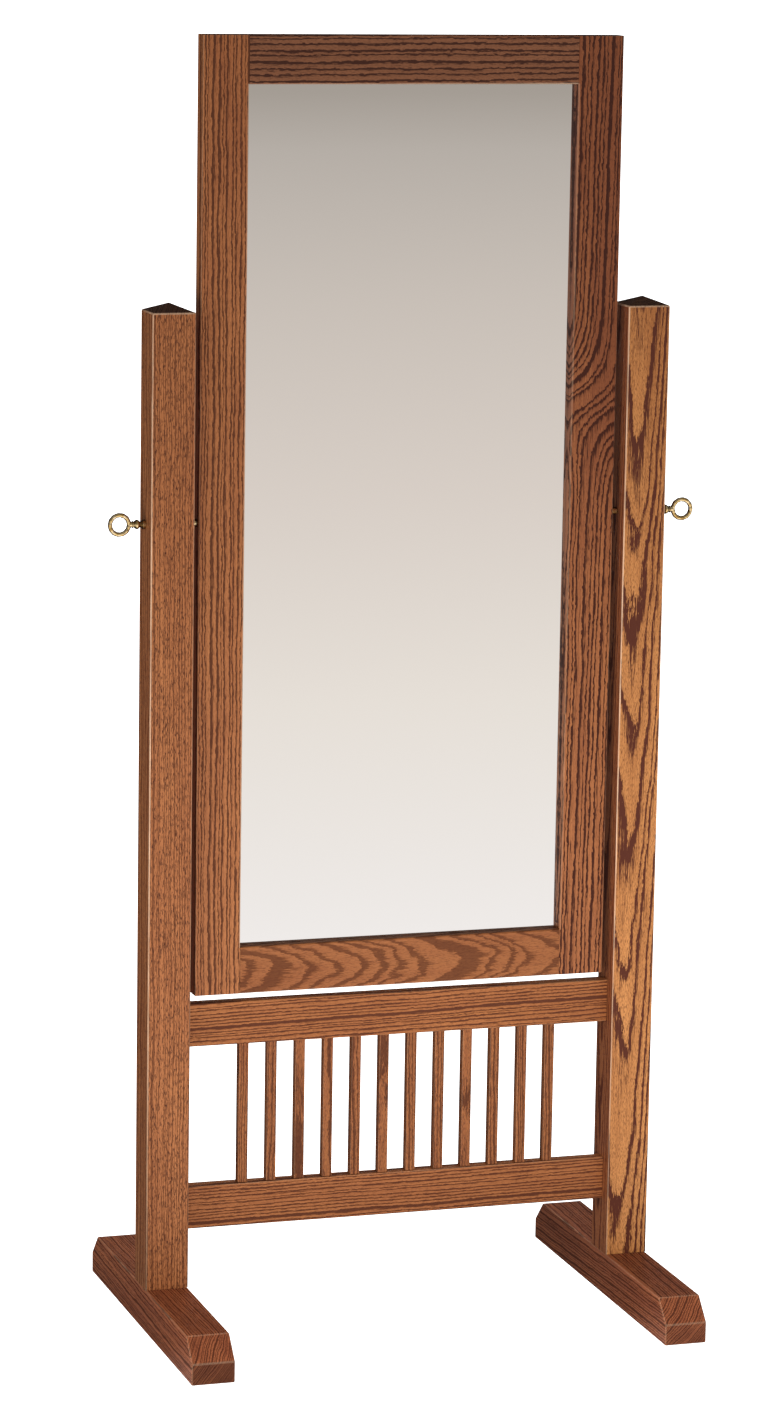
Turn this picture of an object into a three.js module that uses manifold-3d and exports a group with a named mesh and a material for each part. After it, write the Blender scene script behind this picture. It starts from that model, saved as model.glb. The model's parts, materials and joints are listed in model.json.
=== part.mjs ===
// Cheval floor mirror: a framed glass hung between two square oak posts, on two flat feet.
// Millimetres. +X is the viewer's right, +Y points away from the viewer, +Z is up.
// The origin is on the floor, under the middle of the stand.
// "Left" and "right" are the viewer's, facing the glass.

import * as THREE from 'three';
import { mergeVertices } from 'three/addons/utils/BufferGeometryUtils.js';
import Module from 'manifold-3d';

const wasm = await Module();
wasm.setup();

// ---------------------------------------------------------------- driving dimensions

const gap = 0.3;                    // left between pieces that touch or are glued
const overlap = 1;                  // how far a cutting shape runs past the face it cuts

// Posts and feet are cut from the same square stock.
const stock = 57;
const postInnerX = 290;             // half the clear width between the posts
const postX = postInnerX + stock / 2;
const postShoulderZ = 1330;
const postPeakRise = 11;            // the low pyramid on top of each post
const footLength = 510;
const footEndHeight = 28;           // upright part of each foot's end, under the slope
const footSlopeRun = 28.5;

// Two rails tie the posts together, with a row of square spindles between them.
const railHeight = 57;
const railThickness = 19;
const upperRailZ = 375;             // underside
const lowerRailZ = 130.5;           // underside
const railTenon = { length: 25, thickness: 12, height: 40 };
const spindleCount = 12;
const spindlePitch = 38.4;
const spindleSide = 13;
const spindleTenon = { side: 9, length: 10 };

// The mirror frame: full-height stiles, with the rails between them.
const frameWidth = 560;
const frameHeight = 1233.5;
const frameThickness = 25.4;
const frameBottomZ = 442.9;
const stileWidth = 60.5;
const frameRailWidth = 62;
const frameTenon = { length: 20, yLow: -9, yHigh: -1, fromSight: 6, fromEdge: 12 };
const pivotZ = frameBottomZ + frameHeight / 2;

// A stepped rabbet in the frame's back holds the glass, then the backing panel.
const glassRabbet = { width: 8, y: 0.3 };
const backingRabbet = { width: 22, y: 5.2 };
const rabbetPlay = 1;               // each panel is this much smaller than its rabbet, all round
const glassThickness = 4;
const backingThickness = 4.5;

// Backing screws, through the panel into the step of the rabbet.
const backingScrew = { fromSight: 15, radius: 1.5, length: 12.8, pointLength: 2 };
const panHead = { radius: 3.5, height: 2.3, edgeHeight: 1.25, crownRadius: 2.1 };
const backingScrewHoleRadius = 1.8;
const stileScrewHeights = [-450, -150, 150, 450];

// Pivots: a ring screw goes through each post and spacer into an insert in the stile.
const shankRadius = 3;
const shankBoreRadius = 3.4;        // in the washer, the spacer and the insert
const postHoleRadius = 3.7;
const insert = { radius: 5, holeRadius: 5.3, length: 13.2, holeDepth: 14 };
const spacerRadius = 4.75;
const washer = { radius: 6, length: 4.4 };
const shankTip = { fromPost: 79, radius: 2.25, length: 1 };  // from the post's outer face, inwards
const waistRadius = 3.6;
const bead = { start: 7.2, end: 15.4, radius: 6.25 };
const stemRadius = 3.9;
const ring = { centre: 34, meanRadius: 12.35, wireRadius: 3.1 };

// Two hex bolts come up through each foot into the end of its post.
const footBolt = { spacing: 28, radius: 4, headAcrossFlats: 13, headHeight: 5.5, topZ: 115 };
const footBoltHoleRadius = 4.4;
const counterbore = { radius: 11, depth: 14 };
const boltWasher = { radius: 10, thickness: 1.6 };

const roundSides = 20;              // sides of a small round piece in view
const hiddenSides = 12;             // sides of a hidden shank, and of a backing screw
const hexSides = 6;
const wireSides = 8;                // sides of the ring's wire
const ringSteps = 24;
const beadSteps = 6;

// ---------------------------------------------------------------- finishes

const finish = (color, roughness, metalness) =>
  new THREE.MeshStandardMaterial({ color, roughness, metalness });

const oak = finish('#9a5f3c', 0.45, 0);
const plywood = finish('#b99468', 0.8, 0);
const silvered = finish('#c9c4bd', 0.03, 1);
const brass = finish('#c9a35a', 0.3, 1);
const zinc = finish('#a3a5a6', 0.45, 1);

// ---------------------------------------------------------------- helpers

// A closed three.js geometry as a solid that can be cut and joined.
function solidOf(geometry) {
  const bare = geometry.clone();
  bare.deleteAttribute('normal');
  bare.deleteAttribute('uv');
  const merged = mergeVertices(bare);
  return new wasm.Manifold(new wasm.Mesh({
    numProp: 3,
    vertProperties: new Float32Array(merged.attributes.position.array),
    triVerts: new Uint32Array(merged.index.array),
  }));
}

function geometryOf(solid) {
  const mesh = solid.getMesh();
  const geometry = new THREE.BufferGeometry();
  geometry.setAttribute('position', new THREE.BufferAttribute(mesh.vertProperties, 3));
  geometry.setIndex(new THREE.BufferAttribute(mesh.triVerts, 1));
  geometry.computeVertexNormals();
  return geometry;
}

// A box from its lowest and highest x, y and z.
function block([x0, x1], [y0, y1], [z0, z1]) {
  const geometry = new THREE.BoxGeometry(x1 - x0, y1 - y0, z1 - z0);
  geometry.translate((x0 + x1) / 2, (y0 + y1) / 2, (z0 + z1) / 2);
  return solidOf(geometry);
}

// A round bar along X, Y or Z, centred on the other two axes.
function bar(radius, low, high, axis, sides = roundSides) {
  const geometry = new THREE.CylinderGeometry(radius, radius, high - low, sides);
  geometry.translate(0, (low + high) / 2, 0);
  if (axis === 'x') geometry.rotateZ(-Math.PI / 2);
  if (axis === 'z') geometry.rotateX(Math.PI / 2);
  return solidOf(geometry);
}

// A turned piece whose axis is X, from [distance along X, radius] points.
function turned(points, sides = roundSides) {
  const profile = points.map(([along, radius]) => new THREE.Vector2(radius, along));
  const geometry = new THREE.LatheGeometry(profile, sides);
  geometry.rotateZ(-Math.PI / 2);
  return geometry;
}

// A tube along X: the profile closes on itself, so the bore is open at both ends.
function tube(outerRadius, boreRadius, length) {
  return turned([[0, boreRadius], [0, outerRadius], [length, outerRadius], [length, boreRadius],
    [0, boreRadius]]);
}

const cut = (solid, tools) => tools.reduce((rest, tool) => rest.subtract(tool), solid);
const join = (solid, pieces) => pieces.reduce((all, piece) => all.add(piece), solid);

function piece(name, geometry, material, position = [0, 0, 0], rotation = [0, 0, 0]) {
  const mesh = new THREE.Mesh(geometry, material);
  mesh.name = name;
  mesh.position.set(...position);
  mesh.rotation.set(...rotation);
  return mesh;
}

const turnedRound = [0, 0, Math.PI];  // half a turn about Z: a right-hand piece used on the left
const turnedOver = [0, Math.PI, 0];   // half a turn about Y: the back stays at the back

// ---------------------------------------------------------------- stand

const footBoltYs = [-footBolt.spacing / 2, footBolt.spacing / 2];

// The foot's outline, seen from the side, drawn across its width.
function footGeometry() {
  const end = footLength / 2;
  const outline = new THREE.Shape([
    new THREE.Vector2(-end, 0), new THREE.Vector2(end, 0), new THREE.Vector2(end, footEndHeight),
    new THREE.Vector2(end - footSlopeRun, stock), new THREE.Vector2(footSlopeRun - end, stock),
    new THREE.Vector2(-end, footEndHeight),
  ]);
  const geometry = new THREE.ExtrudeGeometry(outline, { depth: stock, bevelEnabled: false });
  geometry.translate(0, 0, -stock / 2);
  const sideways = new THREE.Matrix4().makeBasis(
    new THREE.Vector3(0, 1, 0), new THREE.Vector3(0, 0, 1), new THREE.Vector3(1, 0, 0));
  geometry.applyMatrix4(sideways);
  const holes = footBoltYs.flatMap((y) => [
    bar(footBoltHoleRadius, -overlap, stock + overlap, 'z').translate([0, y, 0]),
    bar(counterbore.radius, -overlap, counterbore.depth, 'z').translate([0, y, 0]),
  ]);
  return geometryOf(cut(solidOf(geometry), holes));
}

// The right-hand post, from the top of its foot. The low pyramid comes from a very large one with
// the same slope, so that it meets the post's four sides exactly.
function postGeometry() {
  const baseZ = stock + gap;
  const peakZ = postShoulderZ + postPeakRise;
  const slope = postPeakRise / (stock / 2);
  const bigHeight = peakZ * 2;
  const big = new THREE.ConeGeometry((bigHeight / slope) * Math.SQRT2, bigHeight, 4);
  big.rotateX(Math.PI / 2);
  big.rotateZ(Math.PI / 4);
  big.translate(0, 0, peakZ - bigHeight / 2);
  const half = stock / 2;
  const shaft = block([-half, half], [-half, half], [baseZ, peakZ + overlap]).intersect(solidOf(big));
  const mortises = [upperRailZ, lowerRailZ].map((z) => {
    const middle = z + railHeight / 2;
    return block([-half - overlap, -half + railTenon.length + gap],
      [-railTenon.thickness / 2 - gap, railTenon.thickness / 2 + gap],
      [middle - railTenon.height / 2 - gap, middle + railTenon.height / 2 + gap]);
  });
  const boltHoles = footBoltYs.map((y) =>
    bar(footBoltHoleRadius, baseZ - overlap, footBolt.topZ + overlap, 'z').translate([0, y, 0]));
  const pivotHole = bar(postHoleRadius, -half - overlap, half + overlap, 'x')
    .translate([0, 0, pivotZ]);
  return geometryOf(cut(shaft, [...mortises, ...boltHoles, pivotHole]));
}

const spindleXs = Array.from({ length: spindleCount },
  (_, i) => (i - (spindleCount - 1) / 2) * spindlePitch);

// A base rail about its own middle, with the spindle mortises in its underside.
function railGeometry() {
  const half = postInnerX - gap;
  const y = railThickness / 2;
  const z = railHeight / 2;
  const tenonEnd = half + railTenon.length;
  const body = join(block([-half, half], [-y, y], [-z, z]), [
    block([-tenonEnd, tenonEnd], [-railTenon.thickness / 2, railTenon.thickness / 2],
      [-railTenon.height / 2, railTenon.height / 2]),
  ]);
  const side = spindleTenon.side / 2 + gap;
  const mortises = spindleXs.map((x) =>
    block([x - side, x + side], [-side, side], [-z - overlap, -z + spindleTenon.length + gap]));
  return geometryOf(cut(body, mortises));
}

// A spindle about its own middle, with a square tenon at each end.
function spindleGeometry() {
  const shoulder = (upperRailZ - lowerRailZ - railHeight) / 2 - gap;
  const side = spindleSide / 2;
  const tenon = spindleTenon.side / 2;
  const end = shoulder + spindleTenon.length;
  return geometryOf(join(block([-side, side], [-side, side], [-shoulder, shoulder]),
    [block([-tenon, tenon], [-tenon, tenon], [-end, end])]));
}

function footBoltGeometry() {
  const headTop = counterbore.depth - boltWasher.thickness - 2 * gap;
  const headRadius = footBolt.headAcrossFlats / Math.sqrt(3);
  const head = bar(headRadius, headTop - footBolt.headHeight, headTop, 'z', hexSides);
  const shank = bar(footBolt.radius, headTop - overlap, footBolt.topZ, 'z', hiddenSides);
  return geometryOf(join(head, [shank]));
}

function footBoltWasherGeometry() {
  const geometry = tube(boltWasher.radius, footBoltHoleRadius, boltWasher.thickness);
  geometry.rotateY(-Math.PI / 2);
  return geometry;
}

function buildStand() {
  const group = new THREE.Group();
  const foot = footGeometry();
  const post = postGeometry();
  const rail = railGeometry();
  const spindle = spindleGeometry();
  const bolt = footBoltGeometry();
  const bigWasher = footBoltWasherGeometry();
  const spacer = tube(spacerRadius, shankBoreRadius, postInnerX - frameWidth / 2 - 2 * gap);
  const washerZ = counterbore.depth - gap - boltWasher.thickness;

  for (const [side, sign, rotation] of [['left', -1, turnedRound], ['right', 1, [0, 0, 0]]]) {
    group.add(piece(`${side}_foot`, foot, oak, [sign * postX, 0, 0], rotation));
    group.add(piece(`${side}_post`, post, oak, [sign * postX, 0, 0], rotation));
    group.add(piece(`${side}_spacer`, spacer, brass,
      [sign * (frameWidth / 2 + gap), 0, pivotZ], rotation));
    for (const [place, y] of [['front', footBoltYs[0]], ['rear', footBoltYs[1]]]) {
      group.add(piece(`${side}_${place}_foot_bolt`, bolt, zinc, [sign * postX, y, 0]));
      group.add(piece(`${side}_${place}_bolt_washer`, bigWasher, zinc,
        [sign * postX, y, washerZ]));
    }
  }
  group.add(piece('upper_rail', rail, oak, [0, 0, upperRailZ + railHeight / 2]));
  group.add(piece('lower_rail', rail, oak, [0, 0, lowerRailZ + railHeight / 2], turnedOver));
  spindleXs.forEach((x, i) => {
    const z = (lowerRailZ + railHeight + upperRailZ) / 2;
    group.add(piece(`spindle_${String(i + 1).padStart(2, '0')}`, spindle, oak, [x, 0, z]));
  });
  return group;
}

// ---------------------------------------------------------------- mirror

const sightX = frameWidth / 2 - stileWidth;      // half the opening that the glass shows in
const sightZ = frameHeight / 2 - frameRailWidth;
const frontY = -frameThickness / 2;
const backY = frameThickness / 2;

const screwPlaces = [
  ...stileScrewHeights.map((z) => [-sightX - backingScrew.fromSight, z]),
  ...stileScrewHeights.map((z) => [sightX + backingScrew.fromSight, z]),
  [0, -sightZ - backingScrew.fromSight],
  [0, sightZ + backingScrew.fromSight],
];

// The stepped hollow for the glass and the backing, as one cutting shape around the opening.
function rabbetShape() {
  const step = ({ width, y }) => block([-sightX - width, sightX + width],
    [y, backY + overlap], [-sightZ - width, sightZ + width]);
  return join(step(glassRabbet), [step(backingRabbet)]);
}

function screwHoles(yLow, yHigh) {
  return screwPlaces.map(([x, z]) =>
    bar(backingScrewHoleRadius, yLow, yHigh, 'y', hiddenSides).translate([x, 0, z]));
}

const framePilotLowY = backY - panHead.height - backingScrew.length - overlap;

// The right-hand stile, at its place in the frame.
function stileGeometry() {
  const outerX = frameWidth / 2;
  const body = block([sightX, outerX], [frontY, backY], [-frameHeight / 2, frameHeight / 2]);
  const tenonLow = sightZ + frameTenon.fromSight - gap;
  const tenonHigh = frameHeight / 2 - frameTenon.fromEdge + gap;
  const mortises = [[tenonLow, tenonHigh], [-tenonHigh, -tenonLow]].map((zRange) =>
    block([sightX - overlap, sightX + frameTenon.length + gap],
      [frameTenon.yLow - gap, frameTenon.yHigh + gap], zRange));
  const insertHole = bar(insert.holeRadius, outerX - insert.holeDepth, outerX + overlap, 'x');
  return geometryOf(cut(body, [rabbetShape(), ...mortises, insertHole,
    ...screwHoles(framePilotLowY, backY)]));
}

// The top rail of the frame, at its place.
function frameRailGeometry() {
  const half = sightX - gap;
  const end = sightX + frameTenon.length;
  const top = frameHeight / 2;
  const body = join(block([-half, half], [frontY, backY], [sightZ, top]), [
    block([-end, end], [frameTenon.yLow, frameTenon.yHigh],
      [sightZ + frameTenon.fromSight, top - frameTenon.fromEdge]),
  ]);
  return geometryOf(cut(body, [rabbetShape(), ...screwHoles(framePilotLowY, backY)]));
}

function glassGeometry() {
  const grow = glassRabbet.width - rabbetPlay;
  const y = glassRabbet.y + gap;
  return geometryOf(block([-sightX - grow, sightX + grow], [y, y + glassThickness],
    [-sightZ - grow, sightZ + grow]));
}

function backingGeometry() {
  const grow = backingRabbet.width - rabbetPlay;
  const y = backingRabbet.y + gap;
  const panel = block([-sightX - grow, sightX + grow], [y, y + backingThickness],
    [-sightZ - grow, sightZ + grow]);
  return geometryOf(cut(panel, screwHoles(y - overlap, y + backingThickness + overlap)));
}

// A pan-head screw along +Y, from its seat under the head: the shank runs towards the front.
function backingScrewGeometry() {
  const { radius, length, pointLength } = backingScrew;
  const geometry = turned([[-length, 0], [pointLength - length, radius], [0, radius],
    [0, panHead.radius], [panHead.edgeHeight, panHead.radius],
    [panHead.height, panHead.crownRadius], [panHead.height, 0]], hiddenSides);
  geometry.rotateZ(Math.PI / 2);
  return geometry;
}

function buildMirror() {
  const group = new THREE.Group();
  group.position.z = pivotZ;
  const stile = stileGeometry();
  const rail = frameRailGeometry();
  const sleeve = tube(insert.radius, shankBoreRadius, insert.length);
  const screw = backingScrewGeometry();
  const sleeveX = frameWidth / 2 - gap - insert.length;
  const seatY = backingRabbet.y + gap + backingThickness + gap;

  group.add(piece('left_stile', stile, oak, [0, 0, 0], turnedOver));
  group.add(piece('right_stile', stile, oak));
  group.add(piece('frame_top_rail', rail, oak));
  group.add(piece('frame_bottom_rail', rail, oak, [0, 0, 0], turnedOver));
  group.add(piece('mirror_glass', glassGeometry(), silvered));
  group.add(piece('backing_panel', backingGeometry(), plywood));
  group.add(piece('left_threaded_insert', sleeve, brass, [-sleeveX, 0, 0], turnedRound));
  group.add(piece('right_threaded_insert', sleeve, brass, [sleeveX, 0, 0]));
  screwPlaces.forEach(([x, z], i) => {
    const name = `backing_screw_${String(i + 1).padStart(2, '0')}`;
    group.add(piece(name, screw, zinc, [x, seatY, z]));
  });
  return group;
}

// ---------------------------------------------------------------- ring screws

// The right-hand ring screw. Its zero is the post's outer face, and +X points outwards.
function ringScrewGeometry() {
  const neck = washer.length + 2 * gap;         // where the waist starts, outside the washer
  const beadPoints = Array.from({ length: beadSteps + 1 }, (_, i) => {
    const t = i / beadSteps;
    const foot = THREE.MathUtils.lerp(waistRadius, stemRadius, t);
    return [THREE.MathUtils.lerp(bead.start, bead.end, t),
      foot + (bead.radius - foot) * Math.sin(Math.PI * t)];
  });
  const stem = solidOf(turned([
    [-shankTip.fromPost, 0], [-shankTip.fromPost, shankTip.radius],
    [shankTip.length - shankTip.fromPost, shankRadius], [neck, shankRadius], [neck, waistRadius],
    ...beadPoints, [ring.centre - ring.meanRadius, stemRadius],
    [ring.centre - ring.meanRadius, 0],
  ]));
  const eye = new THREE.TorusGeometry(ring.meanRadius, ring.wireRadius, wireSides, ringSteps);
  eye.rotateX(Math.PI / 2);
  eye.translate(ring.centre, 0, 0);
  const reach = ring.wireRadius + overlap;
  const hole = bar(ring.meanRadius - ring.wireRadius, -reach, reach, 'y', ringSteps)
    .translate([ring.centre, 0, 0]);
  return geometryOf(cut(join(stem, [solidOf(eye)]), [hole]));
}

function buildRingScrews() {
  const group = new THREE.Group();
  group.position.z = pivotZ;
  const ringScrew = ringScrewGeometry();
  const collar = tube(washer.radius, shankBoreRadius, washer.length);
  const faceX = postInnerX + stock;
  for (const [side, sign, rotation] of [['left', -1, turnedRound], ['right', 1, [0, 0, 0]]]) {
    group.add(piece(`${side}_ring_washer`, collar, brass, [sign * (faceX + gap), 0, 0], rotation));
    group.add(piece(`${side}_ring_screw`, ringScrew, brass, [sign * faceX, 0, 0], rotation));
  }
  return group;
}

const chevalMirror = new THREE.Group();
chevalMirror.add(buildStand(), buildMirror(), buildRingScrews());

export default chevalMirror;
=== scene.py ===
# %% [markdown]
# # Cheval floor mirror
# A cheval mirror is a tall framed glass hung between two posts, so that it can be tipped to any
# angle. This one is joinery in stained red oak: two square posts on flat feet, two rails with a row
# of spindles between them, and a plain frame held by a brass ring screw through each post.
#
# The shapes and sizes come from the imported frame, in metres, with X along the tilt axis, Y away
# from the viewer and Z up. This script gives every piece its finished surface. It is written in
# cells: a note first, then a short piece of code that prints what it made.

import json
import math

import bmesh
import bpy
import numpy as np
from mathutils import Matrix, Vector

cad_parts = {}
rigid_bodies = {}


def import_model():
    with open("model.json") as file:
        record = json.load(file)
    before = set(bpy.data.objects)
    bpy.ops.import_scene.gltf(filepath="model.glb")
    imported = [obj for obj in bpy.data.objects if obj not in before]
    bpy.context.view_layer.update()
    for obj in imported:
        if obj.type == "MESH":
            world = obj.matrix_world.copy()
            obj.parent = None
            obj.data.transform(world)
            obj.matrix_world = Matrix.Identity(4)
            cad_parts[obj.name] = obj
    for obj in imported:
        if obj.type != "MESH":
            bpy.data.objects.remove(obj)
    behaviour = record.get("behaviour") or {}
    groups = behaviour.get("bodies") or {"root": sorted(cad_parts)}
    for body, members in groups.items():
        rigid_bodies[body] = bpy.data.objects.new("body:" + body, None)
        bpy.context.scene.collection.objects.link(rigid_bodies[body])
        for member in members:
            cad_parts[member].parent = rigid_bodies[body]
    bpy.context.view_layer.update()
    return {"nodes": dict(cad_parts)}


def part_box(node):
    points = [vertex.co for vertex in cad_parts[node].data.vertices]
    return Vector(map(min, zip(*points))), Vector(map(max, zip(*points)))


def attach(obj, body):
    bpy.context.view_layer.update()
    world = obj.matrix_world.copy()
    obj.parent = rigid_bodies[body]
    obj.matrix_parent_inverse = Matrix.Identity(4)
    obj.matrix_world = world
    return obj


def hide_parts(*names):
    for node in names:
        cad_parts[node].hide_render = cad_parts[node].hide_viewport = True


for leftover in list(bpy.data.objects):
    bpy.data.objects.remove(leftover)
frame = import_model()

# %% [markdown]
# ## The camera
# The view is from the left of the mirror and a little above it, from about six metres, with a long
# lens. A long lens keeps the posts nearly parallel, as furniture is usually shown. The turn is built
# from three plain angles: how far the camera looks to the right, how far down, and its small roll.

# %% Camera
LENS_MM = 122.3
CAMERA_PLACE = Vector((-1.9068, -5.8628, 1.9277))
LOOK_RIGHT, LOOK_DOWN, ROLL = (math.radians(a) for a in (17.878, 10.308, 0.925))

camera_data = bpy.data.cameras.new("camera")
camera_data.lens = LENS_MM
camera_data.sensor_width = 36
camera_data.clip_end = 500
camera = bpy.data.objects.new("camera", camera_data)
turn = (Matrix.Rotation(-LOOK_RIGHT, 4, "Z") @ Matrix.Rotation(math.pi / 2 - LOOK_DOWN, 4, "X")
        @ Matrix.Rotation(ROLL, 4, "Z"))
camera.matrix_world = Matrix.Translation(CAMERA_PLACE) @ turn
bpy.context.scene.collection.objects.link(camera)
bpy.context.scene.camera = camera
bpy.context.scene.view_settings.view_transform = "Standard"
print("the camera is", round(CAMERA_PLACE.length, 2), "m from the middle of the floor")

# %% [markdown]
# ## Two helpers for materials
# Every material below is a small tree of nodes. Colours are written as hex numbers, as a paint chart
# gives them, and one function turns them into the linear values that shaders work in. One function
# adds a node: its settings go in as names, its inputs as a dictionary, and an input that is given an
# output socket is linked to it.

# %% Colour and node helpers
def linear(hex_colour):
    channels = [int(hex_colour[i:i + 2], 16) / 255 for i in (1, 3, 5)]
    return (*(c / 12.92 if c <= 0.04045 else ((c + 0.055) / 1.055) ** 2.4 for c in channels), 1.0)


def add(tree, kind, inputs=None, **settings):
    """Adds one node. inputs maps a socket's name or number to a value or to another node's output."""
    node = tree.nodes.new(kind)
    for name, value in settings.items():
        setattr(node, name, value)
    for key, value in (inputs or {}).items():
        if isinstance(value, bpy.types.NodeSocket):
            tree.links.new(value, node.inputs[key])
        else:
            node.inputs[key].default_value = value
    return node


def new_material(name):
    material = bpy.data.materials.new(name)
    material.use_nodes = True
    material.node_tree.nodes.clear()
    return material, material.node_tree


def ramp(tree, value, stops):
    """A colour ramp from (position, colour) stops."""
    node = add(tree, "ShaderNodeValToRGB", {"Fac": value})
    elements = node.color_ramp.elements
    elements[0].position, elements[0].color = stops[0]
    elements[1].position, elements[1].color = stops[-1]
    for position, colour in stops[1:-1]:
        elements.new(position).color = colour
    return node.outputs["Color"]


def mix(tree, share, first, second):
    """Blends two colours, each a colour or an output socket, by a share from 0 to 1."""
    colours = {0: share, 6: first, 7: second}     # the sockets that a colour mix reads
    return add(tree, "ShaderNodeMix", colours, data_type="RGBA").outputs[2]


print("mid grey is", [round(c, 3) for c in linear("#808080")])

# %% [markdown]
# ## Floor and light
# The mirror stands in a white studio. A large pale floor gives off its own even light, which is what
# makes the wood brighter towards the bottom and leaves almost no shadow. Behind, the floor and the
# low sky are dimmer, which keeps pale glare off the sides and tops of the boards. Far off in front
# the floor falls away to a warm grey, and the glass shows that as a soft gradient. A low lamp in
# front lights the lower half, one at the left lifts the sides that face it, and one behind lights
# the back. No lamp can be seen, not even in the glass.

# %% Floor, world and lamps
def grey(value):
    return (value, value, value, 1.0)


FLOOR_SIZE = 400.0
FLOOR_BEHIND = 0.09     # the floor's light behind the mirror
FLOOR_POOL = 1.5        # how much brighter the floor is close to the feet
SKY_FRONT = [(0.0, 0.5), (0.12, 0.42), (0.35, 0.22), (0.6, 0.27), (1.0, 0.45)]  # height, light
SKY_BEHIND = [(0.0, 0.06), (0.25, 0.06), (0.6, 0.27), (1.0, 0.45)]
FLOOR_FADE = [  # distance in front, in metres, and the floor's light there
    (2.0, (1.14, 1.12, 1.14)), (4.3, (1.04, 0.99, 0.95)), (7.5, (0.90, 0.83, 0.79)),
    (13.3, (0.76, 0.70, 0.66)), (22.6, (0.61, 0.566, 0.535)), (29.0, (0.49, 0.45, 0.415)),
    (60.0, (0.42, 0.38, 0.36)),
]
FADE_START, FADE_END = FLOOR_FADE[0][0], FLOOR_FADE[-1][0]


def seen_white(tree, light):
    """White where the camera looks straight at it, and this light for everything it falls on."""
    to_camera = add(tree, "ShaderNodeLightPath").outputs["Is Camera Ray"]
    return mix(tree, to_camera, light, grey(1.0))


def floor_material():
    """Bright close to the feet. In front it fades by the distance's logarithm, and behind it is dim."""
    material, tree = new_material("white_studio_floor")
    place = add(tree, "ShaderNodeTexCoord").outputs["Object"]
    axes = add(tree, "ShaderNodeSeparateXYZ", {0: place})
    ahead = add(tree, "ShaderNodeMath", {0: axes.outputs["Y"], 1: -1.0}, operation="MULTIPLY")
    safe = add(tree, "ShaderNodeMath", {0: ahead.outputs[0], 1: FADE_START}, operation="MAXIMUM")
    log = add(tree, "ShaderNodeMath", {0: safe.outputs[0], 1: FADE_END / FADE_START},
              operation="LOGARITHM")
    first = math.log(FADE_START) / math.log(FADE_END / FADE_START)
    share = add(tree, "ShaderNodeMath", {0: log.outputs[0], 1: first}, operation="SUBTRACT")
    stops = [(math.log(d / FADE_START) / math.log(FADE_END / FADE_START), (*(c / 2 for c in rgb), 1))
             for d, rgb in FLOOR_FADE]
    front = ramp(tree, share.outputs[0], stops)
    in_front = add(tree, "ShaderNodeMapRange", {
        "Value": ahead.outputs[0], "From Min": 0.1, "From Max": 0.5})
    near = add(tree, "ShaderNodeVectorMath", {0: place}, operation="LENGTH").outputs["Value"]
    colour = mix(tree, in_front.outputs[0], grey(FLOOR_BEHIND / 2), front)
    pool = add(tree, "ShaderNodeMapRange", {
        "Value": near, "From Min": 1.7, "From Max": 0.5, "To Min": 1.0, "To Max": FLOOR_POOL},
        interpolation_type="SMOOTHSTEP")
    colour = add(tree, "ShaderNodeVectorMath", {0: colour, "Scale": pool.outputs[0]},
                 operation="SCALE").outputs[0]
    seen = seen_white(tree, colour)
    glow = add(tree, "ShaderNodeEmission", {"Color": seen, "Strength": 2.0})
    add(tree, "ShaderNodeOutputMaterial", {"Surface": glow.outputs[0]})
    return material


bpy.ops.mesh.primitive_plane_add(size=FLOOR_SIZE)
floor = bpy.context.object
floor.name = "studio_floor"
floor.data.materials.append(floor_material())

world = bpy.data.worlds.new("studio")
bpy.context.scene.world = world
world.use_nodes = True
world.node_tree.nodes.clear()
direction = add(world.node_tree, "ShaderNodeTexCoord").outputs["Generated"]
towards = add(world.node_tree, "ShaderNodeSeparateXYZ", {0: direction}).outputs
sky_in_front, sky_behind = (
    ramp(world.node_tree, towards["Z"], [(height, grey(value)) for height, value in stops])
    for stops in (SKY_FRONT, SKY_BEHIND))
front_share = add(world.node_tree, "ShaderNodeMapRange", {
    "Value": towards["Y"], "From Min": 0.1, "From Max": -0.5}).outputs[0]
sky = mix(world.node_tree, front_share, sky_behind, sky_in_front)
light = add(world.node_tree, "ShaderNodeBackground", {
    "Color": seen_white(world.node_tree, sky), "Strength": 1.0})
add(world.node_tree, "ShaderNodeOutputWorld", {"Surface": light.outputs[0]})


def soft_lamp(name, place, target, size, watts):
    data = bpy.data.lights.new(name, "AREA")
    data.shape, data.size, data.energy = "SQUARE", size, watts
    lamp = bpy.data.objects.new(name, data)
    lamp.visible_glossy = lamp.visible_camera = False   # it must not show, not even in the glass
    aim = (Vector(target) - Vector(place)).to_track_quat("-Z", "Y")
    lamp.matrix_world = Matrix.Translation(place) @ aim.to_matrix().to_4x4()
    bpy.context.scene.collection.objects.link(lamp)
    return lamp


soft_lamp("front_lamp", (0.0, -1.1, 0.4), (0, 0, 0.2), 0.8, 8.0)
soft_lamp("side_lamp", (-2.2, -0.6, 0.5), (0, 0, 0.5), 1.0, 17)
soft_lamp("back_lamp", (0.6, 2.4, 1.1), (0, 0, 0.8), 1.6, 40)
print("floor, sky and three soft lamps are in place")
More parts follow.
